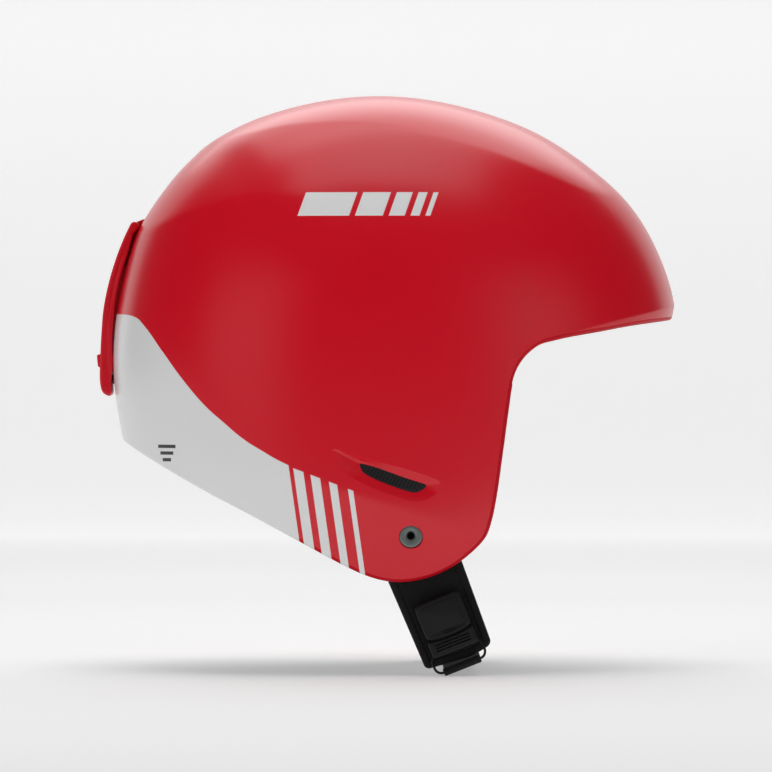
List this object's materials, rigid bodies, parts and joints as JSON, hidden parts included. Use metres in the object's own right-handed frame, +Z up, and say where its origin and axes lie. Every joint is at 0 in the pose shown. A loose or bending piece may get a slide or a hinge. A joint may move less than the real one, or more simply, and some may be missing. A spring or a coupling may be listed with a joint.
{
  "type": "ski helmet",
  "caption": "Hard-shell ski race helmet with a short brim, full ear coverage, a two-layer turning liner, side vents, goggle-strap retainer and padded chin strap with a side-sliding buckle.",
  "frame": {"origin": "centre of the ball that the inner liner turns about, in the middle of the head", "axes": "+X forward, towards the brim; +Y towards the wearer's left; +Z up, towards the crown"},
  "size_m": [0.3002, 0.228, 0.2972],
  "materials": {
    "red_shell": "satin",
    "red_moulding": "satin",
    "foam": "matt, fine bead texture",
    "lining": "brushed knit",
    "sleeve_fabric": "padded, matt",
    "webbing": "woven",
    "black_plastic": "fine grain",
    "elastomer": "matt",
    "aluminium": "bead blasted",
    "steel": "satin",
    "black_steel": "black coated"
  },
  "bodies": {
    "helmet": {"outer_shell": "red_shell", "outer_liner": "foam", "left_ear_foam": "foam", "right_ear_foam": "foam", "left_ear_pad": "lining", "right_ear_pad": "lining", "left_vent_screen": "black_plastic", "right_vent_screen": "black_plastic", "left_anchor_barrel": "aluminium", "right_anchor_barrel": "aluminium", "left_anchor_spacer": "black_plastic", "right_anchor_spacer": "black_plastic", "left_anchor_nut": "aluminium", "right_anchor_nut": "aluminium", "retainer_base": "red_moulding", "retainer_stud": "red_moulding", "upper_rivet": "steel", "lower_rivet": "steel"},
    "slip_link": {"slip_disc": "elastomer"},
    "head_liner": {"inner_liner": "foam", "crown_pad": "lining", "brow_pad": "lining", "rear_pad": "lining", "left_side_pad": "lining", "right_side_pad": "lining"},
    "right_strap": {"right_eyelet": "steel", "right_webbing": "webbing", "right_sleeve": "sleeve_fabric", "buckle_socket": "black_plastic", "socket_magnet": "steel"},
    "chin_strap": {"chin_webbing": "webbing", "left_eyelet": "steel", "left_sleeve": "sleeve_fabric", "buckle_latch": "black_plastic", "latch_magnet": "steel", "wire_bail": "black_steel"},
    "retainer": {"retainer_arm": "red_moulding", "retainer_pin": "steel"}
  },
  "joints": [
    {"name": "liner_turn", "type": "hinge", "parent": "helmet", "child": "slip_link", "pos_m": [0, 0, 0], "axis": [0, 0, 1], "range_deg": [-6, 6], "stiffness_Nm_per_rad": 0.6},
    {"name": "liner_nod", "type": "hinge", "parent": "slip_link", "child": "head_liner", "pos_m": [0, 0, 0], "axis": [0, 1, 0], "range_deg": [-6, 6], "stiffness_Nm_per_rad": 0.6},
    {"name": "strap_swing", "type": "hinge", "parent": "helmet", "child": "right_strap", "pos_m": [0.0104, 0, -0.0993], "axis": [0, -1, 0], "range_deg": [-40, 30]},
    {"name": "buckle_slide", "type": "hinge", "parent": "right_strap", "child": "chin_strap", "pos_m": [0.0104, 0, -0.0993], "axis": [0, -1, 0], "range_deg": [0, 25]},
    {"name": "retainer_lift", "type": "hinge", "parent": "helmet", "child": "retainer", "pos_m": [-0.1323, 0, 0.0589], "axis": [0, 1, 0], "range_deg": [0, 70]}
  ]
}
